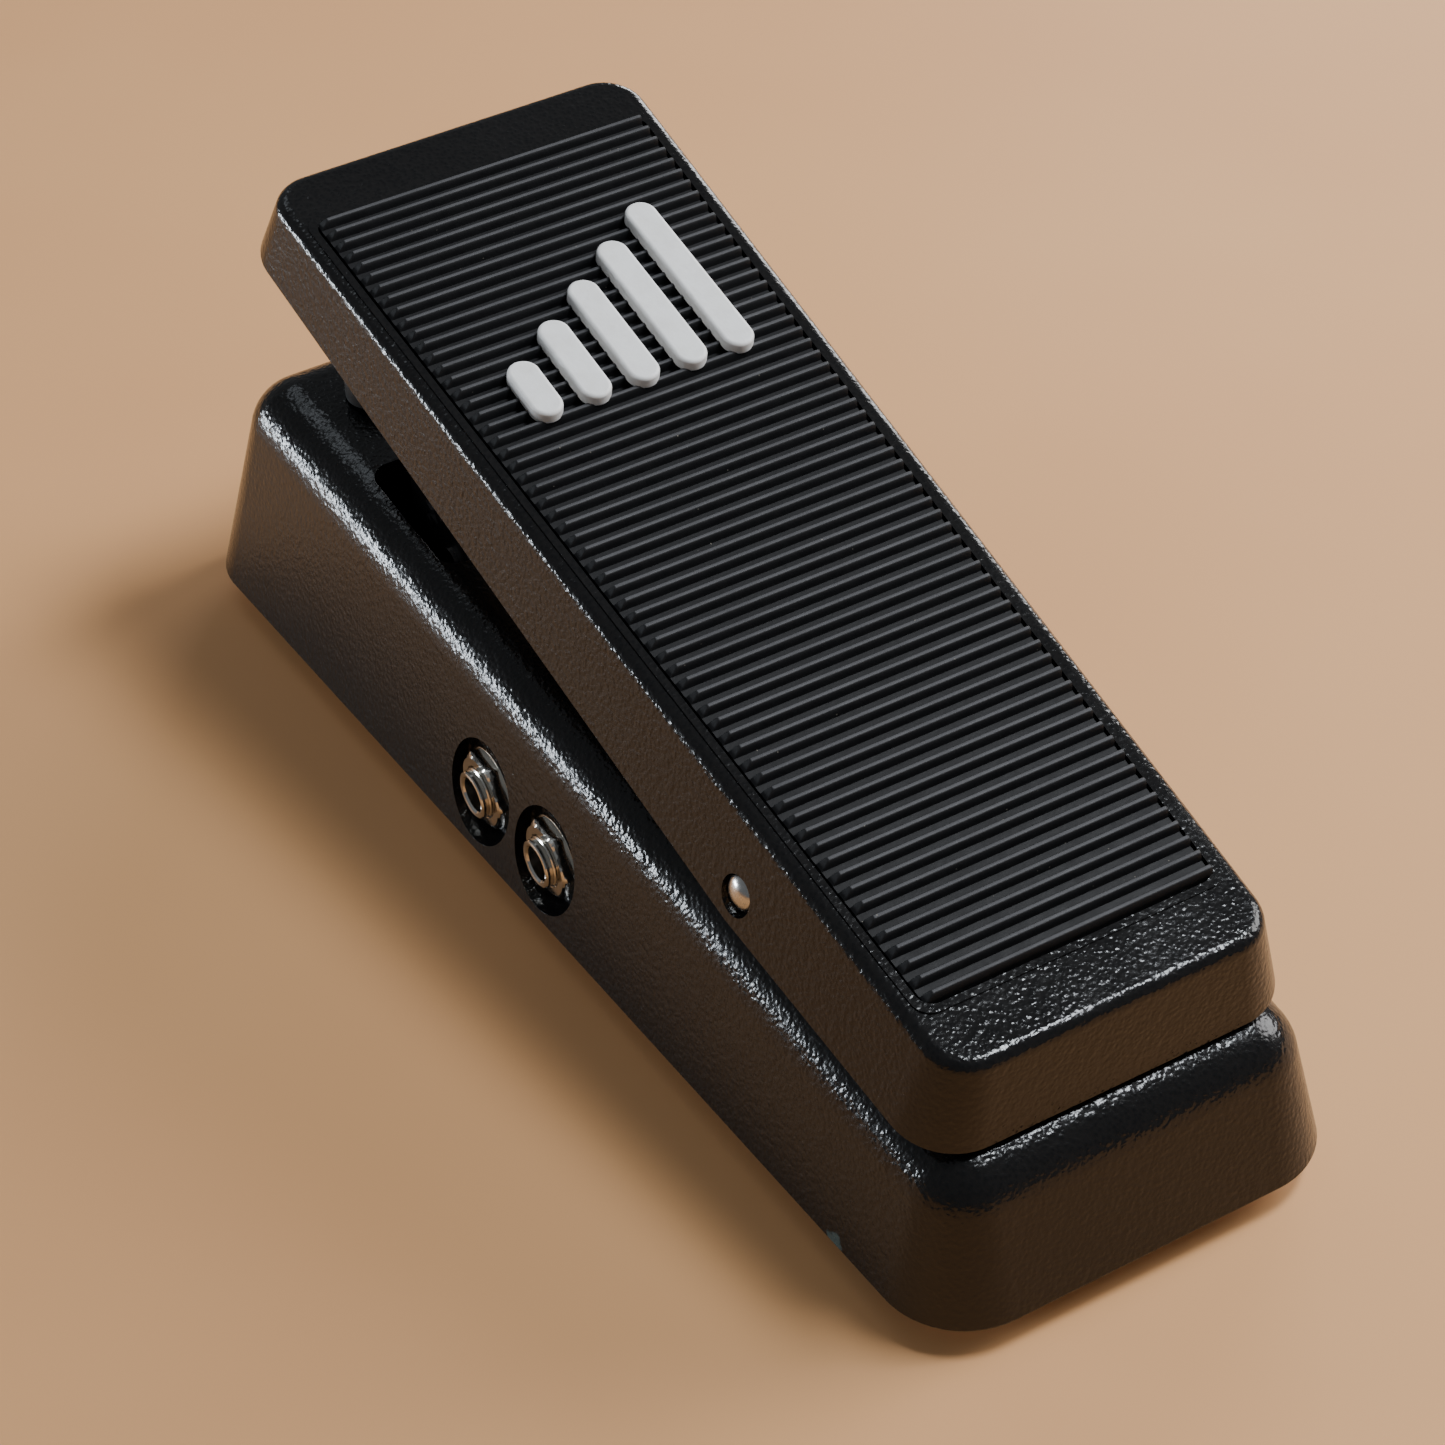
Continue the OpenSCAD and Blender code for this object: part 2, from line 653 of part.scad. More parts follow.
module pinion() {
    color([0.12, 0.12, 0.13]) difference() {
        union() {
            translate([gear_x - rack_half, gear_y, gear_z]) rotate([90, 0, 90])
                linear_extrude(rack_w) pinion_outline();
            bar_x(gear_x + rack_half - eps, gear_y, gear_z, 5, 2.5);
        }
        bar_x(gear_x - 10, gear_y, gear_z, shaft_r + 0.03, 20);
        translate([gear_x + rack_half + 1.3, gear_y, gear_z]) cylinder(r = 0.8, h = 6);
    }
}

module gear_screw() {
    color([0.3, 0.3, 0.3]) translate([gear_x + rack_half + 1.3, gear_y, gear_z + shaft_r + 0.05])
        cylinder(r = 0.77, h = 1.8);
}

module pot_shaft() {
    color([0.7, 0.7, 0.72])
        bar_x(gear_x - rack_half - 1, gear_y, gear_z, shaft_r,
            pot_x + pot_shaft_depth - gear_x + rack_half + 1);
}

module pot_bracket() {
    ear_z = gear_z - 12;
    ear_h = 15;
    color([0.66, 0.66, 0.67]) difference() {
        union() {
            translate([bracket_x, boss_near - 4, ear_z]) cube([bracket_t, boss_far - boss_near + 8, ear_h]);
            bar_x(bracket_x, gear_y, gear_z, 9, bracket_t);
        }
        bar_x(bracket_x - 1, gear_y, gear_z, 3.6, 5);
        for (y = [boss_near, boss_far]) bar_x(bracket_x - 1, y, gear_z - 7, 1.35, 5);
    }
}

module bracket_screws() {
    color([0.7, 0.7, 0.7]) for (y = [boss_near, boss_far]) {
        bar_x(bracket_x - 1.6, y, gear_z - 7, 2.5, 1.6);
        bar_x(bracket_x - 0.8, y, gear_z - 7, 1.25, 8);
    }
}

pot_x = bracket_x + bracket_t;
module pot_can() {
    color([0.72, 0.72, 0.74]) difference() {
        bar_x(pot_x, gear_y, gear_z, pot_can_r, pot_can_len);
        bar_x(pot_x - 1, gear_y, gear_z, 3.6, 3);
        bar_x(pot_x - 1, gear_y, gear_z, shaft_r + 0.04, pot_shaft_depth + 1.5);
    }
}

module pot_bushing() {
    color([0.78, 0.7, 0.45]) difference() {
        bar_x(bracket_x - 2.6, gear_y, gear_z, 3.55, bracket_t + 4.5);
        bar_x(bracket_x - 5, gear_y, gear_z, shaft_r + 0.04, 12);
    }
}

module pot_washer() {
    color([0.75, 0.75, 0.75]) difference() {
        bar_x(bracket_x - 0.5, gear_y, gear_z, 5.6, 0.5);
        bar_x(bracket_x - 2, gear_y, gear_z, 3.6, 3);
    }
}

module pot_nut() {
    color([0.75, 0.75, 0.75]) difference() {
        hex_x(bracket_x - 2.3, gear_y, gear_z, 10, 1.8);
        bar_x(bracket_x - 5, gear_y, gear_z, 3.6, 6);
    }
}

module pot_lugs() {
    color([0.8, 0.78, 0.7]) for (offset = [-4, 0, 4])
        translate([pot_x + 3, gear_y + offset - 0.9, gear_z - pot_can_r - 7]) difference() {
            cube([0.6, 1.8, offset == 0 ? 6.95 : 7.6]);
            translate([-1, 0.9, 1.6]) rotate([0, 90, 0]) cylinder(r = 0.5, h = 3);
        }
}

// ---- jacks ----
module jack_bushing(y) {
    front = jack_floor(y) - jack_washer_t - jack_nut_t - jack_reach;
    back = jack_floor(y) + jack_pad_t;
    lip = 0.5;
    color([0.78, 0.77, 0.74]) difference() {
        union() {
            bar_x(front + lip, y, jack_z, jack_thread_r, back - front - lip);
            translate([front, y, jack_z]) rotate([0, 90, 0])
                cylinder(r1 = jack_thread_r - lip, r2 = jack_thread_r, h = lip);
        }
        bar_x(front - 1, y, jack_z, socket_r, back - front + 2);
    }
}
module jack_bushing_toe() { jack_bushing(jack_toe_y); }
module jack_bushing_heel() { jack_bushing(jack_heel_y); }

module jack_washer(y) {
    color([0.8, 0.79, 0.76]) difference() {
        bar_x(jack_floor(y) - jack_washer_t, y, jack_z, jack_washer_r, jack_washer_t);
        bar_x(jack_floor(y) - 5, y, jack_z, jack_hole_r, 10);
    }
}
module jack_washer_toe() { jack_washer(jack_toe_y); }
module jack_washer_heel() { jack_washer(jack_heel_y); }

module jack_nut(y) {
    nut_x = jack_floor(y) - jack_washer_t - jack_nut_t;
    bevel_r = jack_nut_af / 2 + 0.25;
    color([0.82, 0.81, 0.78]) difference() {
        intersection() {
            hex_x(nut_x, y, jack_z, jack_nut_af, jack_nut_t);
            union() {
                translate([nut_x, y, jack_z]) rotate([0, 90, 0])
                    cylinder(r1 = bevel_r, r2 = bevel_r + 1, h = 0.7);
                bar_x(nut_x + 0.7, y, jack_z, jack_nut_af, jack_nut_t);
            }
        }
        bar_x(nut_x - 5, y, jack_z, jack_hole_r, 10);
    }
}
module jack_nut_toe() { jack_nut(jack_toe_y); }
module jack_nut_heel() { jack_nut(jack_heel_y); }

module jack_frame(y) {
    back = jack_floor(y) + jack_pad_t;
    arm_len = 22;
    color([0.7, 0.7, 0.7]) difference() {
        union() {
            bar_x(back, y, jack_z, frame_r, frame_t);
            translate([back, y - 4, jack_z + frame_r - 2]) cube([arm_len, 8, frame_t]);
        }
        bar_x(back - 1, y, jack_z, socket_r + 0.2, 5);
    }
}
module jack_frame_toe() { jack_frame(jack_toe_y); }
module jack_frame_heel() { jack_frame(jack_heel_y); }

module jack_stack(y) {
    back = jack_floor(y) + jack_pad_t;
    color([0.45, 0.28, 0.14])
        translate([back + 13, y - 4, jack_z + 4.2]) cube([8.5, 8, frame_r - 2 - 4.2]);
}
module jack_stack_toe() { jack_stack(jack_toe_y); }
module jack_stack_heel() { jack_stack(jack_heel_y); }

module jack_spring(y) {
    back = jack_floor(y) + jack_pad_t;
    color([0.8, 0.75, 0.6]) {
        translate([back + 10, y - 2.5, jack_z + 3.7]) cube([19, 5, 0.5]);
        translate([back + 29 - eps, y - 2.5, jack_z + 0.5]) cube([0.5, 5, 3.7]);
    }
}
module jack_spring_toe() { jack_spring(jack_toe_y); }
module jack_spring_heel() { jack_spring(jack_heel_y); }

base_casting();
bottom_plate();
foot_heel_left();
foot_heel_right();
foot_toe_left();
foot_toe_right();
plate_screws();
pivot_block();
pivot_block_screws();
bush_left();
bush_right();
friction_shoe();
tension_screw();
toe_bumper_left();
toe_bumper_right();
heel_bumper_left();
heel_bumper_right();
pot_bracket();
bracket_screws();
pot_can();
pot_bushing();
pot_washer();
pot_nut();
pot_lugs();
jack_bushing_toe();
jack_bushing_heel();
jack_frame_toe();
jack_frame_heel();
jack_stack_toe();
jack_stack_heel();
jack_spring_toe();
jack_spring_heel();
jack_washer_toe();
jack_washer_heel();
jack_nut_toe();
jack_nut_heel();
treadle_casting();
tread_mat();
emblem_bars();
pivot_pin();
pin_set_screws();
rack_pin();
rack_clips();
rack();
pot_shaft();
pinion();
gear_screw();
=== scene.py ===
import json
import math

import bmesh
import bpy
from mathutils import Matrix, Vector


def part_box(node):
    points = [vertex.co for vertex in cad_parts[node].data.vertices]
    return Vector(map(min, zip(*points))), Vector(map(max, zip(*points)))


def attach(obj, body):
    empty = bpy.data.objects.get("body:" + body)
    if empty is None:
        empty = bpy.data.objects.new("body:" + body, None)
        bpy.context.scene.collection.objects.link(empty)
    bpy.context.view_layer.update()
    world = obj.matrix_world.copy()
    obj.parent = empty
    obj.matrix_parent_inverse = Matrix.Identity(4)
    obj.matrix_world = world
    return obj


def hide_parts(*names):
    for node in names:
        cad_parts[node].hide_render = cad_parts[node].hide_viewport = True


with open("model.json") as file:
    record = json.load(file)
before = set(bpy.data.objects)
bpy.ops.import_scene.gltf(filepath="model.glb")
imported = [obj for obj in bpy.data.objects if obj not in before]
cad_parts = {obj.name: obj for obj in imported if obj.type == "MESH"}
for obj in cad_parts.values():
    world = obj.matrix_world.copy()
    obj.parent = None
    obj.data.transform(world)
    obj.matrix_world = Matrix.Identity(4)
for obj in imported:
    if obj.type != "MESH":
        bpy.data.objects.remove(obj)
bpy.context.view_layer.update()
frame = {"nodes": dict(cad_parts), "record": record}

nodes = frame["nodes"]
MM = 0.001

# ---- driving sizes in millimetres, as in the CAD model, but for a rounder treadle edge ----
BASE_LEN, HEEL_W, TOE_W = 252.0, 80.2, 102.0
HEEL_H, TOE_H = 33.0, 49.6
FOOT_H, PLATE_T, WALL = 4.0, 1.2, 3.5
CORNER_R, EDGE_R, DRAFT = 15.2, 10.9, math.radians(12.2)
SHELL_Z = FOOT_H + PLATE_T
Y_HEEL = -BASE_LEN / 2

TREAD_LEN, TREAD_HEEL_W, TREAD_TOE_W = 229.3, 73.0, 81.6
TILT = math.radians(12.0)
TREAD_Y, TREAD_Z = Y_HEEL + 5.6, 50.4
SKIRT_HEEL, SKIRT_MID, SKIRT_TOE = 16.3, 19.0, 12.2
TREAD_DRAFT = math.radians(13.9)
TREAD_CORNER, TREAD_TOP_CORNER = 11.6, 8.2
TREAD_EDGE, TREAD_WALL, TREAD_TOP = 2.6, 3.0, 3.8
PIVOT_V = 58.3

MAT_HEEL_W, MAT_TOE_W, MAT_START = 53.6, 65.9, 19.2
RIBS, RIB_PITCH, RIB_W, RIB_H = 61, 3.19, 1.8, 1.6
MAT_END = MAT_START + (RIBS - 1) * RIB_PITCH + RIB_W
RECESS = 1.0

JACK_Z, JACK_TOE_Y, JACK_STEP = 17.2, Y_HEEL + 143.0, 22.1
JACKS = {"toe": JACK_TOE_Y, "heel": JACK_TOE_Y - JACK_STEP}
JACK_DEPTH, JACK_HOLE_R = 3.0, 4.8
NUT_T, WASHER_T, BUSH_PROUD, JACK_BORE_R = 2.3, 0.9, 1.9, 3.25

FOOT_YS, FOOT_INSET = (Y_HEEL + 25, -Y_HEEL - 29), 11.5
BUMPER_R, DIMPLE_R, DIMPLE_DEEP = 6.0, 1.5, 2.0
SHOE_BORE_R, SHOE_ROOF = 5.0, 0.5

joints = {joint["name"]: joint for joint in frame["record"]["behaviour"]["joints"]}
PIVOT = [value / MM for value in joints["treadle_pivot"]["pos_m"]]
GEAR = [value / MM for value in joints["pot_spin"]["pos_m"]]
RACK_PIN = [value / MM for value in joints["rack_swing"]["pos_m"]]
TRAVEL = math.radians(-joints["treadle_pivot"]["range_deg"][0])


def base_half(y):
    return (HEEL_W + (TOE_W - HEEL_W) * (y - Y_HEEL) / BASE_LEN) / 2


def base_top(y):
    return HEEL_H + (TOE_H - HEEL_H) * (y - Y_HEEL) / BASE_LEN


def edge_inset(height):
    return (height - EDGE_R - FOOT_H) * math.tan(DRAFT) + EDGE_R / math.cos(DRAFT)


def wall_x(y, z):
    return -(base_half(y) - (z - FOOT_H) * math.tan(DRAFT))


def tread_half(v):
    return (TREAD_HEEL_W + (TREAD_TOE_W - TREAD_HEEL_W) * v / TREAD_LEN) / 2


def mat_half(v):
    part = (v - MAT_START) / (MAT_END - MAT_START)
    return (MAT_HEEL_W + (MAT_TOE_W - MAT_HEEL_W) * part) / 2


ON_TREADLE = Matrix.Translation((0, TREAD_Y, TREAD_Z)) @ Matrix.Rotation(TILT, 4, "X")
STILL = Matrix.Identity(4)


# ---- mesh helpers; all lengths in millimetres ----
def make_object(name, verts, faces, matrix=STILL):
    mesh = bpy.data.meshes.new(name)
    mesh.from_pydata([tuple((matrix @ Vector(v)) * MM) for v in verts], [], faces)
    work = bmesh.new()
    work.from_mesh(mesh)
    bmesh.ops.remove_doubles(work, verts=work.verts, dist=1e-7)
    bmesh.ops.recalc_face_normals(work, faces=work.faces)
    work.to_mesh(mesh)
    work.free()
    obj = bpy.data.objects.new(name, mesh)
    bpy.context.scene.collection.objects.link(obj)
    return obj


def skin(rings, closed=True):
    """Vertices and faces of a tube through rings of equal length, capped at both ends."""
    count = len(rings[0])
    verts = [v for ring in rings for v in ring]
    faces = []
    for row in range(len(rings) - 1):
        low, high = row * count, (row + 1) * count
        for i in range(count):
            j = (i + 1) % count
            faces.append((low + i, low + j, high + j, high + i))
    if closed:
        faces.append(tuple(reversed(range(count))))
        last = (len(rings) - 1) * count
        faces.append(tuple(range(last, last + count)))
    return verts, faces


def prism(name, outline, z0, z1, matrix=STILL):
    return make_object(name, *skin([[(x, y, z) for x, y in outline] for z in (z0, z1)]), matrix)


def box(name, low, high, matrix=STILL):
    outline = [(low[0], low[1]), (high[0], low[1]), (high[0], high[1]), (low[0], high[1])]
    return prism(name, outline, low[2], high[2], matrix)


def turned_rings(profile, centre, axis, steps):
    """Rings of (distance along the axis, radius) points turned about an axis through the centre."""
    rings = []
    for along, radius in profile:
        ring = []
        for i in range(steps):
            angle = 2 * math.pi * i / steps
            a, b = radius * math.cos(angle), radius * math.sin(angle)
            point = (along, a, b) if axis == "X" else (a, b, along)
            ring.append(tuple(c + p for c, p in zip(centre, point)))
        rings.append(ring)
    return rings


def lathe(name, profile, centre, axis="X", steps=72, matrix=STILL):
    return make_object(name, *skin(turned_rings(profile, centre, axis, steps)), matrix)


def tube(name, profile, centre, axis="X", steps=72):
    """As lathe, but the profile is a closed loop, so the piece keeps its hole."""
    rings = turned_rings(profile + profile[:1], centre, axis, steps)
    return make_object(name, *skin(rings, closed=False))


def rod_x(name, x0, x1, y, z, r, steps=72):
    return lathe(name, [(x0, r), (x1, r)], (0, y, z), "X", steps)


def rod_z(name, x, y, z0, z1, r, steps=48):
    return lathe(name, [(z0, r), (z1, r)], (x, y, 0), "Z", steps)


def arc(first, last, steps):
    """Angles in radians from first to last, given in degrees, both ends included."""
    return [math.radians(first + (last - first) * i / steps) for i in range(steps + 1)]


def corner_arc(x, y, r, index, steps):
    """Quarter circle of the corner counted anticlockwise from the lower right one."""
    start = -90 + 90 * index
    return [(x + r * math.cos(a), y + r * math.sin(a)) for a in arc(start, start + 90, steps)]


def round_outline(corners, steps=10):
    """Outline through corners (x, y, r) given anticlockwise, from the lower right one on."""
    outline = []
    for index, (x, y, r) in enumerate(corners):
        outline += corner_arc(x, y, r, index, steps)
    return outline


def round_ring(corners, steps):
    """As round_outline, for corners (x, y, z, r) that may lie at different heights."""
    ring = []
    for index, (x, y, z, r) in enumerate(corners):
        ring += [(a, b, z) for a, b in corner_arc(x, y, r, index, steps)]
    return ring


def tapered_block(name, low, high, edge, matrix=STILL, foot_round=0.0, draft=DRAFT, steps=14):
    """A block between round corners (x, y, z, r), low and high; edge rounds the top rim."""
    foot = [(0.0, foot_round), (0.3 * foot_round, 0.3 * foot_round), (foot_round, 0.0)]
    rings = []
    for lift, inset in foot if foot_round else [(0.0, 0.0)]:
        rings.append(round_ring([(x, y, z + lift, r - inset) for x, y, z, r in low], steps))
    for angle in arc(math.degrees(draft), 90, steps):
        drop, inset = edge - edge * math.sin(angle), edge - edge * math.cos(angle)
        rings.append(round_ring([(x, y, z - drop, r - inset) for x, y, z, r in high], steps))
    return make_object(name, *skin(rings), matrix)


def combine(obj, other, operation):
    """Applies a boolean of other on obj and removes other."""
    modifier = obj.modifiers.new("combine", "BOOLEAN")
    modifier.object = other
    modifier.operation = operation
    modifier.solver = "EXACT"
    graph = bpy.context.evaluated_depsgraph_get()
    mesh = bpy.data.meshes.new_from_object(obj.evaluated_get(graph))
    obj.modifiers.clear()
    obj.data = mesh
    bpy.data.objects.remove(other)
    return obj


def cut(obj, *others):
    for other in others:
        combine(obj, other, "DIFFERENCE")
    return obj


def add(obj, *others):
    for other in others:
        combine(obj, other, "UNION")
    return obj


def finish_edges(obj, width=0.0, angle=32.0):
    """Small bevels on sharp edges, then smooth shading that keeps the flats flat."""
    for polygon in obj.data.polygons:
        polygon.use_smooth = True
    if width:
        bevel = obj.modifiers.new("bevel", "BEVEL")
        bevel.width = width * MM
        bevel.segments = 2
        bevel.limit_method = "ANGLE"
        bevel.angle_limit = math.radians(angle)
        bevel.harden_normals = False
    obj.data.set_sharp_from_angle(angle=math.radians(angle))
    weighted = obj.modifiers.new("weighted", "WEIGHTED_NORMAL")
    weighted.keep_sharp = True
    weighted.weight = 60
    return obj


# ---- materials ----
class Shader:
    """A Principled material with a few shortcuts for its node tree."""

    def __init__(self, name, **sockets):
        self.material = bpy.data.materials.new(name)
        self.material.use_nodes = True
        self.tree = self.material.node_tree
        self.shader = self.tree.nodes["Principled BSDF"]
        self.coords = self.tree.nodes.new("ShaderNodeTexCoord")
        for key, value in sockets.items():
            self.shader.inputs[key.replace("_", " ")].default_value = value

    def link(self, output, socket):
        self.tree.links.new(output, socket)

    def feed(self, socket, value):
        """Links the value if it is another node's output, and else sets it."""
        if hasattr(value, "is_output"):
            self.link(value, socket)
        else:
            socket.default_value = value

    def node(self, kind, **inputs):
        made = self.tree.nodes.new("ShaderNode" + kind)
        for key, value in inputs.items():
            self.feed(made.inputs[key.replace("_", " ")], value)
        return made

    def vector_math(self, operation, a, b=None):
        made = self.tree.nodes.new("ShaderNodeVectorMath")
        made.operation = operation
        self.feed(made.inputs[0], a)
        if b is not None:
            self.feed(made.inputs[1], b)
        return made

    def noise(self, scale, detail=2.0, rough=0.5, vector=None):
        made = self.node("TexNoise", Scale=scale, Detail=detail, Roughness=rough)
        self.link(vector or self.coords.outputs["Object"], made.inputs["Vector"])
        return made.outputs["Fac"]

    def colour(self, output):
        self.link(output, self.shader.inputs["Base Color"])

    def roughness(self, output):
        self.link(output, self.shader.inputs["Roughness"])

    def voronoi(self, scale, feature="F1", vector=None, smooth=None):
        made = self.node("TexVoronoi", Scale=scale)
        made.feature = feature
        if smooth is not None:
            made.inputs["Smoothness"].default_value = smooth
        self.link(vector or self.coords.outputs["Object"], made.inputs["Vector"])
        return made.outputs["Distance"]

    def remap(self, value, low, high, to_low=0.0, to_high=1.0):
        made = self.node("MapRange", Value=value, From_Min=low, From_Max=high,
                         To_Min=to_low, To_Max=to_high)
        return made.outputs["Result"]

    def math(self, operation, a, b=0.0):
        made = self.tree.nodes.new("ShaderNodeMath")
        made.operation = operation
        for socket, value in zip(made.inputs, (a, b)):
            self.feed(socket, value)
        return made.outputs[0]

    def mix(self, factor, low, high):
        made = self.tree.nodes.new("ShaderNodeMix")
        made.data_type = "RGBA"
        for socket, value in (("Factor", factor), ("A", low), ("B", high)):
            self.feed(made.inputs[socket], value)
        return made.outputs["Result"]

    def bump(self, height, distance):
        """Adds a bump of the given depth in millimetres on top of any earlier one."""
        made = self.node("Bump", Height=height, Distance=distance * MM, Strength=1.0)
        earlier = self.shader.inputs["Normal"].links
        if earlier:
            self.link(earlier[0].from_socket, made.inputs["Normal"])
        self.link(made.outputs["Normal"], self.shader.inputs["Normal"])


def rgb(r, g, b):
    return (r, g, b, 1.0)


def warped(shader, scale, amount):
    """Object coordinates pushed about by noise, so cells lose their straight walls."""
    place = shader.coords.outputs["Object"]
    noise = shader.node("TexNoise", Scale=scale, Detail=1.0)
    shader.link(place, noise.inputs["Vector"])
    shift = shader.vector_math("SCALE", noise.outputs["Color"])
    shift.inputs["Scale"].default_value = amount
    return shader.vector_math("ADD", place, shift.outputs[0]).outputs[0]


def textured_paint(name, chip=None):
    """Black stove paint with a pebbled, orange-peel skin; chip is a worn spot in metres."""
    made = Shader(name, Specular_IOR_Level=0.42)
    pebbles = made.voronoi(1150.0, "SMOOTH_F1", warped(made, 800.0, 0.0007), smooth=0.5)
    ripple = made.noise(760.0, 2.0, 0.5)
    grain = made.noise(3800.0, 2.0, 0.6)
    pits = made.math("MULTIPLY", pebbles, -0.8)
    height = made.math("ADD", pits, made.math("MULTIPLY", ripple, 0.9))
    shade = made.remap(pebbles, 0.1, 0.6)
    tint = made.mix(shade, rgb(0.004, 0.004, 0.0045), rgb(0.008, 0.0075, 0.0075))
    if chip:
        distance = made.vector_math("DISTANCE", made.coords.outputs["Object"], chip).outputs["Value"]
        ragged = made.math("ADD", distance, made.math("MULTIPLY", made.noise(420.0, 3.0), 0.004))
        tint = made.mix(made.remap(ragged, 0.0042, 0.0037), tint, rgb(0.05, 0.085, 0.09))
    made.colour(tint)
    made.roughness(made.remap(made.noise(70.0, 3.0), 0.3, 0.7, 0.14, 0.22))
    made.bump(height, 0.10)
    made.bump(grain, 0.008)
    return made.material


def height_over_mat(shader):
    """Height in metres over the mat's floor, from the object's own coordinates."""
    square = ON_TREADLE.to_3x3() @ Vector((0, 0, 1))
    along = shader.vector_math("DOT_PRODUCT", shader.coords.outputs["Object"], square)
    floor = square.dot(ON_TREADLE.translation) * MM
    return shader.math("SUBTRACT", along.outputs["Value"], floor)


def ribbed_rubber():
    """Black rubber with a painted highlight on the crests of the ribs and painted shade on their
    walls and in the valleys, with a little dust.
    """
    made = Shader("mat_rubber", Specular_IOR_Level=0.32)
    bloom = made.remap(made.noise(55.0, 4.0, 0.6), 0.3, 0.75)
    # painted highlight: the paler grey given to the crests, with a random bloom in its tone
    painted_crest_highlight = made.mix(bloom, rgb(0.048, 0.048, 0.053), rgb(0.080, 0.080, 0.086))
    # painted highlight and shade: only the top of each rib's crest gets the paler grey, and the
    # walls and valleys stay near black as painted shade
    crest_highlight_mask = made.remap(height_over_mat(made), (RIB_H - 0.12) * MM, (RIB_H - 0.02) * MM)
    tint = made.mix(crest_highlight_mask, rgb(0.007, 0.007, 0.008), painted_crest_highlight)
    dust = made.remap(made.voronoi(420.0), 0.055, 0.03)
    sparse = made.remap(made.noise(150.0, 1.0), 0.52, 0.6)
    made.colour(made.mix(made.math("MULTIPLY", dust, sparse), tint, rgb(0.32, 0.29, 0.24)))
    made.roughness(made.remap(made.noise(300.0, 3.0), 0.3, 0.7, 0.52, 0.66))
    made.bump(made.noise(900.0, 4.0, 0.65), 0.05)
    made.bump(made.noise(4200.0, 2.0), 0.012)
    return made.material


def plain_rubber(name, low, high):
    made = Shader(name, Specular_IOR_Level=0.4)
    tint = made.mix(made.remap(made.noise(160.0, 4.0, 0.6), 0.35, 0.7), rgb(*low), rgb(*high))
    made.colour(tint)
    made.roughness(made.remap(made.noise(500.0, 3.0), 0.3, 0.7, 0.5, 0.68))
    made.bump(made.noise(1800.0, 3.0, 0.6), 0.03)
    return made.material


def white_rubber():
    made = Shader("emblem_rubber", Specular_IOR_Level=0.4)
    grime = made.remap(made.noise(240.0, 5.0, 0.65), 0.42, 0.72)
    tint = made.mix(grime, rgb(0.95, 0.95, 0.94), rgb(0.86, 0.85, 0.83))
    made.colour(tint)
    made.roughness(made.remap(made.noise(400.0, 2.0), 0.3, 0.7, 0.4, 0.55))
    made.bump(made.noise(700.0, 4.0, 0.6), 0.06)
    return made.material


def metal(name, colour, rough_low, rough_high, scratch=0.01, stretch=(1.0, 1.0, 1.0)):
    made = Shader(name, Metallic=1.0)
    spread = made.node("Mapping", Scale=stretch)
    made.link(made.coords.outputs["Object"], spread.inputs["Vector"])
    lines = made.noise(900.0, 4.0, 0.6, spread.outputs["Vector"])
    cloud = made.remap(made.noise(120.0, 4.0, 0.6), 0.3, 0.75)
    dull = tuple(0.72 * c for c in colour)
    made.colour(made.mix(cloud, rgb(*colour), rgb(*dull)))
    made.roughness(made.remap(lines, 0.3, 0.7, rough_low, rough_high))
    made.bump(lines, scratch)
    return made.material


def plastic(name, low, high, rough=(0.38, 0.5)):
    made = Shader(name, Specular_IOR_Level=0.5)
    tint = made.mix(made.remap(made.noise(180.0, 4.0), 0.3, 0.7), rgb(*low), rgb(*high))
    made.colour(tint)
    made.roughness(made.remap(made.noise(420.0, 3.0), 0.3, 0.7, *rough))
    made.bump(made.noise(1500.0, 3.0), 0.02)
    return made.material


CHIP_Y = Y_HEEL + 28
CHIP = tuple(MM * v for v in (wall_x(CHIP_Y, SHELL_Z), CHIP_Y, SHELL_Z + 0.6))
PAINT_BASE = textured_paint("paint_base", CHIP)
PAINT_TREAD = textured_paint("paint_treadle")
RUBBER_MAT = ribbed_rubber()
RUBBER_FOOT = plain_rubber("foot_rubber", (0.012, 0.012, 0.012), (0.03, 0.03, 0.03))
RUBBER_WHITE = white_rubber()
NICKEL = metal("nickel", (0.80, 0.77, 0.71), 0.10, 0.2, 0.006)
STEEL_PIN = metal("pin_steel", (0.72, 0.71, 0.69), 0.18, 0.3, 0.01)
STEEL_PLATE = metal("plate_steel", (0.56, 0.56, 0.55), 0.28, 0.42, 0.02, (1.0, 0.12, 1.0))
STEEL_SCREW = metal("screw_steel", (0.45, 0.45, 0.46), 0.25, 0.4, 0.015)
STEEL_CAN = metal("can_steel", (0.6, 0.6, 0.61), 0.25, 0.36, 0.012)
BRASS = metal("brass", (0.74, 0.58, 0.30), 0.22, 0.34, 0.01)
NYLON = plastic("nylon", (0.72, 0.70, 0.63), (0.80, 0.78, 0.72))
GEAR_BLACK = plastic("pinion_black", (0.03, 0.03, 0.033), (0.05, 0.05, 0.055))
PHENOLIC = plastic("phenolic", (0.20, 0.10, 0.045), (0.30, 0.16, 0.08))
BY_SLOT = {
    "black_paint": PAINT_BASE, "plate_steel": STEEL_PLATE, "mat_rubber": RUBBER_MAT,
    "emblem_white": RUBBER_WHITE, "pin_steel": STEEL_PIN, "screw_steel": STEEL_SCREW, "nylon": NYLON,
    "can_steel": STEEL_CAN, "brass": BRASS, "nickel": NICKEL, "pinion_black": GEAR_BLACK,
    "foot_rubber": RUBBER_FOOT, "phenolic": PHENOLIC,
}


def dress(obj, material, body, slot, *replaced):
    """Gives a piece its material and its body, and hides the CAD nodes that it stands for."""
    obj.data.materials.clear()
    obj.data.materials.append(material)
    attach(obj, body)
    if replaced:
        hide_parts(*replaced)
    return obj


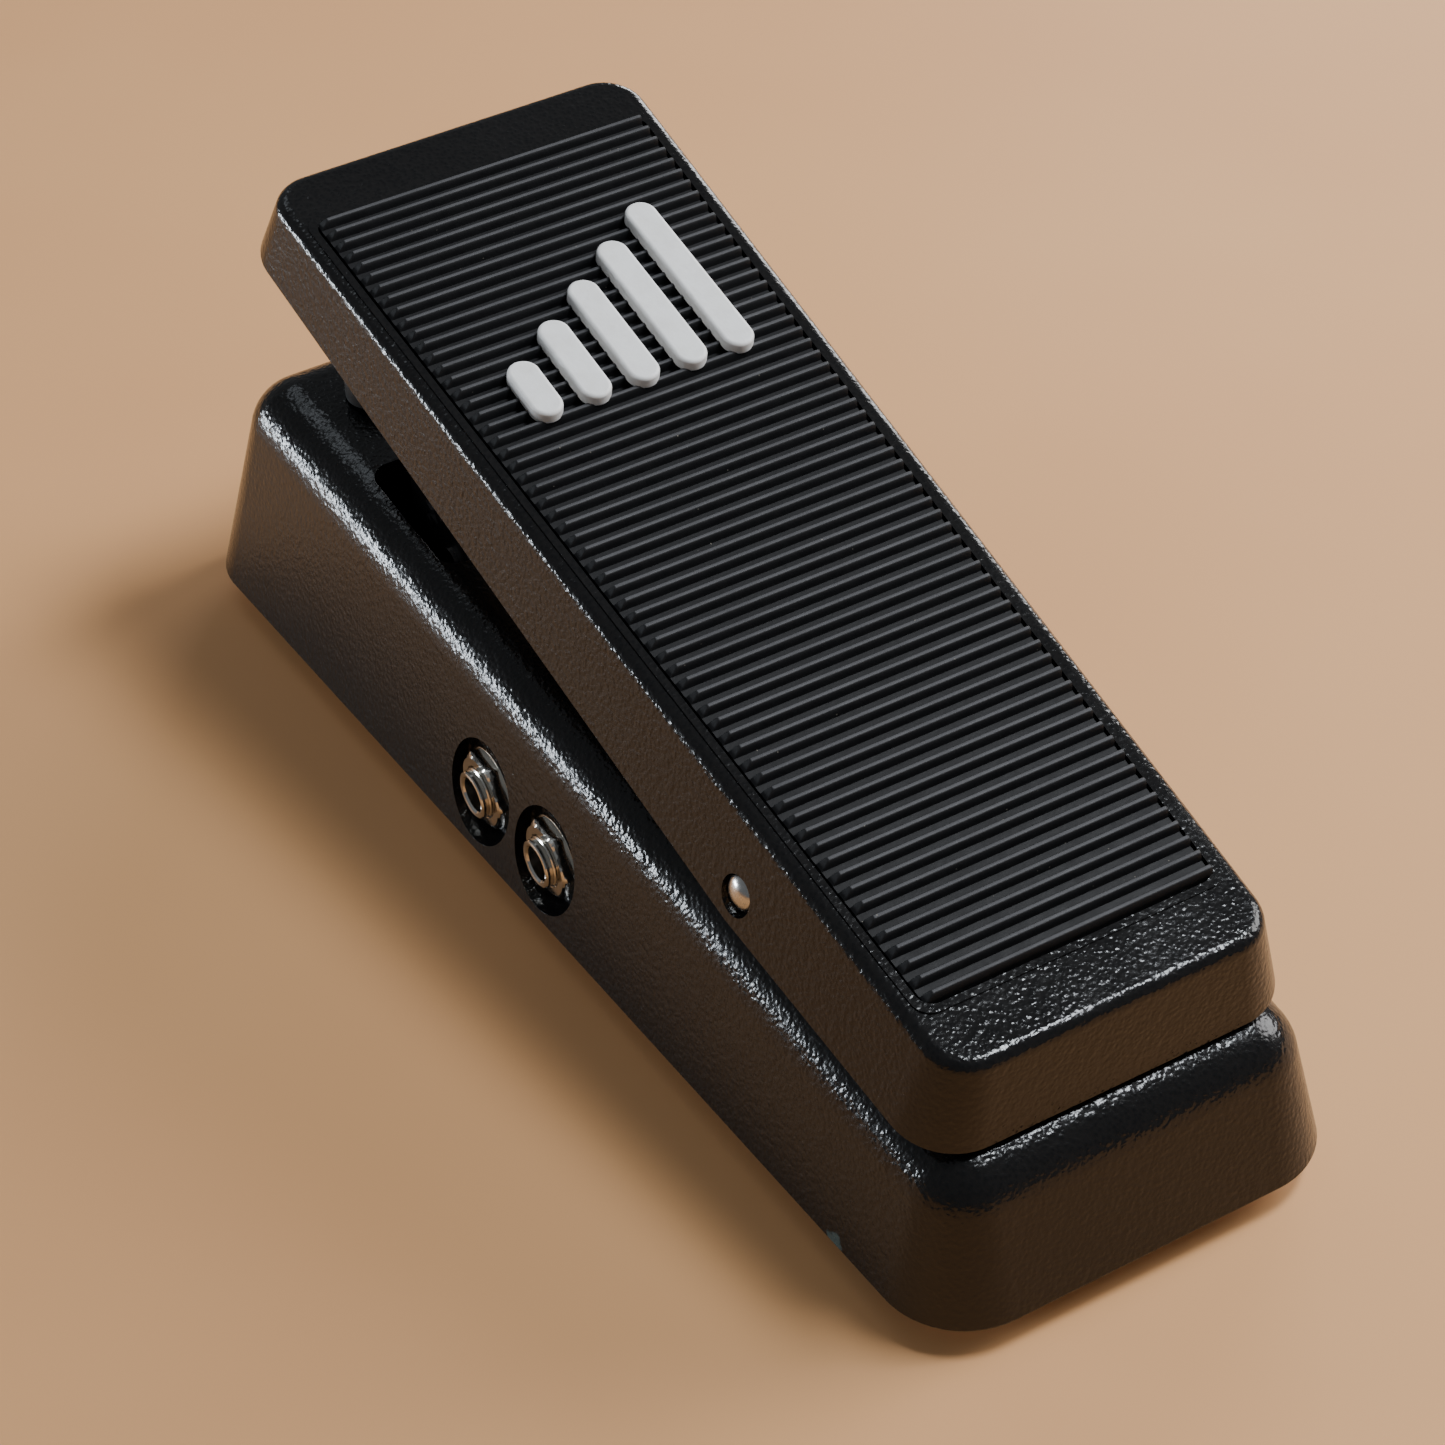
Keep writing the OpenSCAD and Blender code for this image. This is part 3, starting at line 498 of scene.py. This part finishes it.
# ---- base casting ----
def base_block(name, inset, low_z, foot_round):
    y0, y1 = Y_HEEL + CORNER_R, -Y_HEEL - CORNER_R
    low = [(side * (base_half(y) - CORNER_R), y, low_z, CORNER_R - inset)
           for side, y in ((1, y0), (1, y1), (-1, y1), (-1, y0))]
    t0, t1 = Y_HEEL + edge_inset(HEEL_H), -Y_HEEL - edge_inset(TOE_H)
    high = [(side * (base_half(y) - edge_inset(base_top(y))), y, base_top(y) - inset, EDGE_R - inset)
            for side, y in ((1, t0), (1, t1), (-1, t1), (-1, t0))]
    return tapered_block(name, low, high, EDGE_R - inset, foot_round=foot_round)


def jack_floor(y):
    """X of the flat floor of a jack's recess."""
    return wall_x(y, JACK_Z) + JACK_DEPTH


def build_base():
    far = 70
    casting = base_block("base_shell", 0.0, SHELL_Z, 0.5)
    hollow = base_block("hollow", WALL, SHELL_Z - 1.0, 0.0)
    feet = [(side * (base_half(y) - FOOT_INSET), y) for y in FOOT_YS for side in (-1, 1)]
    for x, y in feet:
        cut(hollow, rod_z("post", x, y, 0, 60, 5.5))
    reach, pad_top, half = jack_floor(JACKS["toe"]) + 2.5, 28.7, JACK_STEP / 2
    heel_y, toe_y = JACKS["heel"], JACKS["toe"]
    cut(hollow, box("pad", (-far, heel_y - half, 0), (reach, toe_y - half, pad_top)))
    cut(hollow, box("pad2", (-far, toe_y - half - 0.01, 0), (reach, toe_y + half, pad_top)))
    for y in (GEAR[1] - 22, GEAR[1] + 24.5):
        cut(hollow, box("boss", (-15, y - 4, GEAR[2] - 12), (-6, y + 4, far)))
    cut(hollow, rod_z("shoe_boss", 0, PIVOT[1], 24, far, 8))
    cut(casting, hollow)
    cut(casting, rod_z("shoe_bore", 0, PIVOT[1], 23, PIVOT[2] - SHOE_ROOF, SHOE_BORE_R))
    slot_r, slot_x0, slot_x1 = 4, -33, 1
    slot_y0, slot_y1 = GEAR[1] - 8, RACK_PIN[1] + 2.4
    slot = round_outline([(slot_x1 - slot_r, slot_y0, slot_r), (slot_x1 - slot_r, slot_y1, slot_r),
                          (slot_x0 + slot_r, slot_y1, slot_r), (slot_x0 + slot_r, slot_y0, slot_r)])
    cut(casting, prism("slot", slot, GEAR[2] - 3, 60))
    for y in JACKS.values():
        x = jack_floor(y)
        recess = [(-far, 9.8), (x - 0.4, 9.8), (x, 9.4)]
        cut(casting, lathe("recess", recess, (0, y, JACK_Z), "X", 96))
        cut(casting, rod_x("jack_hole", -far, -20, y, JACK_Z, JACK_HOLE_R))
    for x, y in feet:
        cut(casting, rod_z("screw_hole", x, y, 0, 17, 2.0))
    finish_edges(casting, 0.35)
    return dress(casting, PAINT_BASE, "base", "black_paint", "base_casting")


def build_pivot_block():
    """Carries the pivot, and stands on the slope of the base's top."""
    half, reach = 26, 8.0
    outline = [(-reach, base_top(PIVOT[1] - reach) - PIVOT[2])]
    outline += [(-reach * math.cos(a), reach * math.sin(a)) for a in arc(0, 180, 24)]
    outline += [(reach, base_top(PIVOT[1] + reach) - PIVOT[2])]
    rings = [[(x, PIVOT[1] + a, PIVOT[2] + b) for a, b in outline] for x in (-half, half)]
    block = make_object("pivot_pedestal", *skin(rings))
    cut(block, rod_x("bush_bore", -half - 1, half + 1, PIVOT[1], PIVOT[2], 6.05))
    cut(block, rod_z("shoe_bore", 0, PIVOT[1], 30, PIVOT[2] - SHOE_ROOF, SHOE_BORE_R))
    finish_edges(block, 0.4)
    return dress(block, PAINT_BASE, "base", "black_paint", "pivot_block")


# ---- treadle casting ----
def tread_block(name, inset, top, drop):
    """The treadle's wedge in its own frame, with its foot lowered by drop for the trimming cuts."""
    heel_deep = SKIRT_MID + (SKIRT_MID - SKIRT_TOE) * PIVOT_V / (TREAD_LEN - PIVOT_V)
    lean, top_r = math.tan(TREAD_DRAFT), TREAD_TOP_CORNER
    low, high = [], []
    for side, end in ((1, 0), (1, 1), (-1, 1), (-1, 0)):
        deep = SKIRT_TOE if end else heel_deep
        shrink = deep * lean
        v_low = TREAD_LEN - TREAD_CORNER if end else TREAD_CORNER
        v_top = TREAD_LEN - shrink - top_r if end else shrink + top_r
        low_r = TREAD_CORNER + drop * lean - inset
        low.append((side * (tread_half(v_low) - TREAD_CORNER), v_low, -deep - drop, low_r))
        high.append((side * (tread_half(v_top) - shrink - top_r), v_top, top, top_r - inset))
    return tapered_block(name, low, high, TREAD_EDGE, ON_TREADLE, draft=TREAD_DRAFT)


def mat_outline(grow, r):
    """The mat's outline, grown by a margin and with its corners rounded."""
    spots = ((1, MAT_START), (1, MAT_END), (-1, MAT_END), (-1, MAT_START))
    corners = []
    inward = r - grow
    for side, v in spots:
        along = v + inward if v == MAT_START else v - inward
        corners.append((side * (mat_half(v) - inward), along, r))
    return round_outline(corners)


def trim_skirt(casting):
    """Cuts the skirt's foot along two slopes that meet under the pivot."""
    toe_slope = math.atan((SKIRT_MID - SKIRT_TOE) / (TREAD_LEN - PIVOT_V))
    heel_slope = math.atan((SKIRT_HEEL - SKIRT_MID) / PIVOT_V)
    for slope in (toe_slope, heel_slope):
        turn = Matrix.Translation((0, PIVOT_V, -SKIRT_MID)) @ Matrix.Rotation(slope, 4, "X")
        low, high = (-60, -TREAD_LEN, -30), (60, TREAD_LEN, 0)
        cut(casting, box("below", low, high, ON_TREADLE @ turn))


def add_rack_lug(casting):
    """Two cheeks that carry the rack pin on either side of the rack."""
    half_rack, gap, thick, boss_r, arm_edge, arm_top = 2, 0.4, 2.6, 4, 1.5, 29.0
    arm = [(-boss_r, arm_top), (arm_edge, arm_top), (arm_edge, 3.71)]
    arm += [(boss_r * math.cos(a), boss_r * math.sin(a)) for a in arc(68, -180, 36)]
    for x in (GEAR[0] - half_rack - gap - thick, GEAR[0] + half_rack + gap):
        rings = [[(w, RACK_PIN[1] + a, RACK_PIN[2] + b) for a, b in arm] for w in (x, x + thick)]
        add(casting, make_object("cheek", *skin(rings)))


def add_stop_posts(casting):
    """Posts that meet the heel bumpers at rest and the toe bumpers at full travel."""
    post_r = 4
    heel_y, toe_y = Y_HEEL + 24, Y_HEEL + 223
    heel_z, toe_z = base_top(heel_y) + 4.3, base_top(toe_y) + 5.3
    swing = (Matrix.Translation(PIVOT) @ Matrix.Rotation(TRAVEL, 4, "X")
             @ Matrix.Translation([-c for c in PIVOT]))
    toe_post = [(toe_z, post_r), (toe_z + 11, post_r)]
    for side in (-1, 1):
        add(casting, rod_z("heel_post", side * 18, heel_y, heel_z, heel_z + 13.2, post_r))
        add(casting, lathe("toe_post", toe_post, (side * 21, toe_y, 0), "Z", 48, swing))


def build_treadle():
    casting = tread_block("treadle_shell", 0.0, 0.0, 3.0)
    hollow = tread_block("tread_hollow", TREAD_WALL, -TREAD_TOP, 6.0)
    for side in (-1, 1):
        x0, x1 = sorted((side * 27.8, side * 36.0))
        cut(hollow, rod_x("pin_boss", x0, x1, PIVOT[1], PIVOT[2], 7.5))
    cut(casting, hollow)
    trim_skirt(casting)
    add_rack_lug(casting)
    add_stop_posts(casting)
    add(casting, prism("lip", mat_outline(2.0, 3.4), -0.5, 0.28, ON_TREADLE))
    cut(casting, prism("recess", mat_outline(0.6, 3.0), -RECESS, 5, ON_TREADLE))
    cut(casting, rod_x("pin_hole", -60, 60, PIVOT[1], PIVOT[2], 3.62))
    cut(casting, rod_x("rack_pin_hole", -60, 0, RACK_PIN[1], RACK_PIN[2], 1.55))
    for side in (-1, 1):
        top = PIVOT[2] - 2
        cut(casting, rod_z("set_screw_hole", side * 30.5, PIVOT[1], top - 10, top, 1.5))
    finish_edges(casting, 0.35)
    return dress(casting, PAINT_TREAD, "treadle", "black_paint", "treadle_casting")


# ---- ribbed mat ----
def rib_heights():
    """(place along the treadle, height) points of the mat's profile, rounded at the crests."""
    across = (0.0, 0.08, 0.16, 0.26, 0.36, 0.46, 0.54, 0.64, 0.74, 0.84, 0.92, 1.0)
    points = []
    for rib in range(RIBS):
        v = MAT_START + rib * RIB_PITCH
        points += [(v + RIB_W * part, RIB_H * (1 - abs(2 * part - 1) ** 3)) for part in across]
    return points


def build_mat():
    """Each rib rises along a ramp at its left end and sags a little at its right end."""
    ramp, plain_end, sag_run, sag_deep, spans = 1.7, 0.8, 0.6, 0.10, 8
    rings = []
    for v, height in rib_heights():
        half = mat_half(v)
        middle = 2 * half - ramp - plain_end
        xs = [-half + a for a in (0.0, 0.12, 0.5, 0.9, 1.3, ramp)]
        xs += [-half + ramp + middle * i / spans for i in range(1, spans + 1)]
        xs += [half - 0.45, half - 0.15, half]
        row = []
        for x in xs:
            edge_rise = (x + half) / ramp * RIB_H + 0.05
            sag = sag_deep * max(0.0, 1 - (half - x) / sag_run) ** 2
            row.append((x, v, max(0.0, min(height, edge_rise) - sag * (height > 0))))
        rings.append([(-half, v, -RECESS)] + row + [(half, v, -RECESS)])
    mat = make_object("ribbed_mat", *skin(rings), ON_TREADLE)
    finish_edges(mat, 0.0, 40.0)
    return dress(mat, RUBBER_MAT, "treadle", "mat_rubber", "tread_mat")


# ---- generic level-bar emblem ----
def bar_outline(index, grow):
    """Outline of one of five rounded bars, each longer than the last."""
    first_v, pitch, shortest, growth = 153.0, 9.5, 8.0, 6.5
    r = 3.0 + grow
    x = (index - 2) * pitch
    outline = [(x + r * math.cos(a), first_v + r * math.sin(a)) for a in arc(180, 360, 24)]
    last_v = first_v + shortest + index * growth
    return outline + [(x + r * math.cos(a), last_v + r * math.sin(a)) for a in arc(0, 180, 24)]


def build_emblem():
    foot, top = RIB_H - 0.35, RIB_H + 1.9
    levels = [(foot, -0.05), (top - 0.7, -0.05), (top - 0.35, -0.15), (top - 0.1, -0.4), (top, -0.8)]
    verts, faces = [], []
    for index in range(5):
        rings = [[(x, y, z) for x, y in bar_outline(index, grow)] for z, grow in levels]
        more_verts, more_faces = skin(rings)
        faces += [tuple(i + len(verts) for i in face) for face in more_faces]
        verts += more_verts
    emblem = make_object("level_bars", verts, faces, ON_TREADLE)
    finish_edges(emblem, 0.0, 50.0)
    return dress(emblem, RUBBER_WHITE, "treadle", "emblem_white", "emblem_bars")


# ---- jacks ----
def hex_radius(angle, across_flats):
    turn = (angle + math.pi / 6) % (math.pi / 3) - math.pi / 6
    return across_flats / 2 / math.cos(turn)


def build_nut(end, y):
    face, flats, turned, steps = jack_floor(y) - WASHER_T - NUT_T, 13.0, math.radians(27), 144
    rings = []
    for depth, limit in [(0.0, 6.5), (0.3, 7.02), (0.58, 7.51), (2.05, 8.2), (NUT_T, 7.3)]:
        ring = []
        for i in range(steps):
            angle = 2 * math.pi * i / steps
            r = min(hex_radius(angle - turned, flats), limit)
            ring.append((face + depth, y + r * math.cos(angle), JACK_Z + r * math.sin(angle)))
        rings.append(ring)
    bore = [(face + NUT_T, 4.8), (face + 0.25, 4.8), (face, 5.05)]
    rings += turned_rings(bore, (0, y, JACK_Z), "X", steps)
    rings.append(rings[0])
    nut = make_object("jack_hex_nut_" + end, *skin(rings, closed=False))
    finish_edges(nut, 0.0, 24.0)
    return dress(nut, NICKEL, "base", "nickel", "jack_nut_" + end)


def build_bushing(end, y):
    floor = jack_floor(y)
    front, back = floor - WASHER_T - NUT_T - BUSH_PROUD, floor + 2.5
    outer = [(front, 4.05), (front + 0.12, 4.35), (front + 0.35, 4.5), (front + 1.3, 4.5)]
    thread, pitch, root_r, crest_r = front + 1.35, 0.79, 4.45, 4.72
    while thread < floor - 1.2:
        outer += [(thread + 0.1, root_r), (thread + 0.3, crest_r), (thread + 0.42, crest_r),
                  (thread + 0.62, root_r)]
        thread += pitch
    outer += [(floor - 0.4, 4.6), (back, 4.6)]
    inner = [(back, JACK_BORE_R), (front + 0.5, JACK_BORE_R), (front + 0.12, 3.55)]
    bushing = tube("jack_barrel_" + end, outer + inner, (0, y, JACK_Z))
    finish_edges(bushing, 0.0, 30.0)
    return dress(bushing, NICKEL, "base", "nickel", "jack_bushing_" + end)


def build_washer(end, y):
    floor = jack_floor(y)
    rim = [(0.0, 4.8), (0.75, 4.8), (WASHER_T, 4.95), (WASHER_T, 7.5), (0.8, 7.72), (0.55, 7.8),
           (0.0, 7.8)]
    profile = [(floor - depth, r) for depth, r in rim]
    washer = tube("jack_face_washer_" + end, profile, (0, y, JACK_Z), steps=96)
    finish_edges(washer, 0.0, 30.0)
    return dress(washer, NICKEL, "base", "nickel", "jack_washer_" + end)


# ---- pivot pin, feet and bumpers ----
def build_pivot_pin():
    half, r, crown = 36.5, 3.55, 2.6
    dome = [(half - crown + crown * math.sin(a), max(0.01, r * math.cos(a))) for a in arc(0, 90, 16)]
    profile = [(-x, radius) for x, radius in reversed(dome)] + dome
    pin = lathe("pivot_rod", profile, (0, PIVOT[1], PIVOT[2]), "X", 64)
    finish_edges(pin, 0.0, 40.0)
    return dress(pin, STEEL_PIN, "treadle", "pin_steel", "pivot_pin")


def foot_point(node):
    """Middle of a node's box in x and y, and its lowest z, in millimetres."""
    low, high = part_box(node)
    return (low[0] + high[0]) / 2 / MM, (low[1] + high[1]) / 2 / MM, low[2] / MM


def build_foot(node):
    x, y, _ = foot_point(node)
    profile = [(0.5, 8.3), (0.12, 8.0), (0.0, 7.5), (0.0, 4.7), (0.15, 4.4), (2.2, 4.4), (2.2, 2.2),
               (FOOT_H, 2.2), (FOOT_H, 9.0), (1.2, 9.0), (0.75, 8.75)]
    foot = tube(node + "_pad", profile, (x, y, 0), "Z")
    finish_edges(foot, 0.0, 35.0)
    return dress(foot, RUBBER_FOOT, "base", "foot_rubber", node)


def build_bumper(node, height):
    x, y, z = foot_point(node)
    top = z + height
    profile = [(z, 0.01), (z, BUMPER_R), (top - 1.1, BUMPER_R), (top - 0.6, 5.85), (top - 0.2, 5.45),
               (top, 4.9), (top, DIMPLE_R + 0.3), (top - 0.3, DIMPLE_R),
               (top - DIMPLE_DEEP, DIMPLE_R), (top - DIMPLE_DEEP, 0.01)]
    bumper = lathe(node + "_button", profile, (x, y, 0), "Z")
    finish_edges(bumper, 0.0, 35.0)
    return dress(bumper, RUBBER_FOOT, "base", "foot_rubber", node)


build_base()
build_pivot_block()
build_treadle()
build_mat()
build_emblem()
for jack_end, jack_y in JACKS.items():
    build_bushing(jack_end, jack_y)
    build_washer(jack_end, jack_y)
    build_nut(jack_end, jack_y)
build_pivot_pin()
for foot_node in ("foot_heel_left", "foot_heel_right", "foot_toe_left", "foot_toe_right"):
    build_foot(foot_node)
for side_name in ("left", "right"):
    build_bumper("toe_bumper_" + side_name, 4.5)
    build_bumper("heel_bumper_" + side_name, 3.5)

# the CAD nodes that stay get the procedural material of their slot
slots = {part["node"]: part["material_slot"] for part in frame["record"]["subparts"]}
for node_name, node_object in nodes.items():
    for index in range(len(node_object.material_slots)):
        node_object.material_slots[index].material = BY_SLOT[slots[node_name]]


# ---- floor, light and camera ----
def build_floor():
    size = 4.0
    corners = [(-size, -size, 0), (size, -size, 0), (size, size, 0), (-size, size, 0)]
    mesh = bpy.data.meshes.new("floor")
    mesh.from_pydata(corners, [], [(0, 1, 2, 3)])
    floor = bpy.data.objects.new("floor", mesh)
    bpy.context.scene.collection.objects.link(floor)
    made = Shader("floor", Roughness=0.6, Specular_IOR_Level=0.3)
    cloud = made.remap(made.noise(6.0, 3.0), 0.3, 0.7)
    tint = made.mix(cloud, rgb(0.76, 0.39, 0.17), rgb(0.80, 0.43, 0.19))
    made.colour(tint)
    mesh.materials.append(made.material)


def area_light(name, direction, distance, size, power, colour=(1.0, 1.0, 1.0)):
    """A rectangle that faces the pedal's middle from the direction given."""
    data = bpy.data.lights.new(name, "AREA")
    data.shape = "RECTANGLE"
    data.size, data.size_y = size
    data.energy = power
    data.color = colour
    light = bpy.data.objects.new(name, data)
    away = Vector(direction).normalized()
    light.location = away * distance + Vector((0, 0, 0.04))
    light.rotation_euler = away.to_track_quat("Z", "Y").to_euler()
    bpy.context.scene.collection.objects.link(light)


def build_light():
    world = bpy.data.worlds.new("studio")
    world.use_nodes = True
    background = world.node_tree.nodes["Background"]
    background.inputs["Color"].default_value = rgb(0.9, 0.95, 1.0)
    background.inputs["Strength"].default_value = 0.16
    bpy.context.scene.world = world
    daylight = (0.84, 0.92, 1.0)
    area_light("window", (-0.70, 0.66, 0.095), 1.6, (0.60, 0.12), 13, daylight)
    area_light("sky_glow", (-0.04, 0.67, 0.73), 1.6, (0.50, 0.30), 0.8, daylight)
    area_light("overhead", (0.37, -0.20, 0.91), 1.0, (0.28, 0.20), 7, (0.90, 0.95, 1.0))
    area_light("fill", (0.86, -0.15, 0.50), 1.5, (0.8, 0.8), 17)
    area_light("back", (0.75, 0.62, 0.22), 1.6, (0.8, 0.5), 10)


def build_camera():
    """Stands at the photograph's viewing angle, worked out from the pedal's outlines."""
    azimuth, elevation, roll = (math.radians(a) for a in (-29.19, 40.36, -2.34))
    distance, target = 0.6285, Vector((-0.00492, -0.00315, 0.030))
    level = math.cos(elevation)
    back = Vector((math.sin(azimuth) * level, -math.cos(azimuth) * level, math.sin(elevation)))
    right = Vector((math.cos(azimuth), math.sin(azimuth), 0.0))
    up = back.cross(right)
    turned_right = right * math.cos(roll) + up * math.sin(roll)
    turned_up = up * math.cos(roll) - right * math.sin(roll)
    data = bpy.data.cameras.new("camera")
    data.sensor_width = 36.0
    data.lens = 88.95
    data.clip_start = 0.01
    camera = bpy.data.objects.new("camera", data)
    turn = Matrix((turned_right, turned_up, back)).transposed().to_4x4()
    camera.matrix_world = Matrix.Translation(target + back * distance) @ turn
    bpy.context.scene.collection.objects.link(camera)
    bpy.context.scene.camera = camera


build_floor()
build_light()
build_camera()
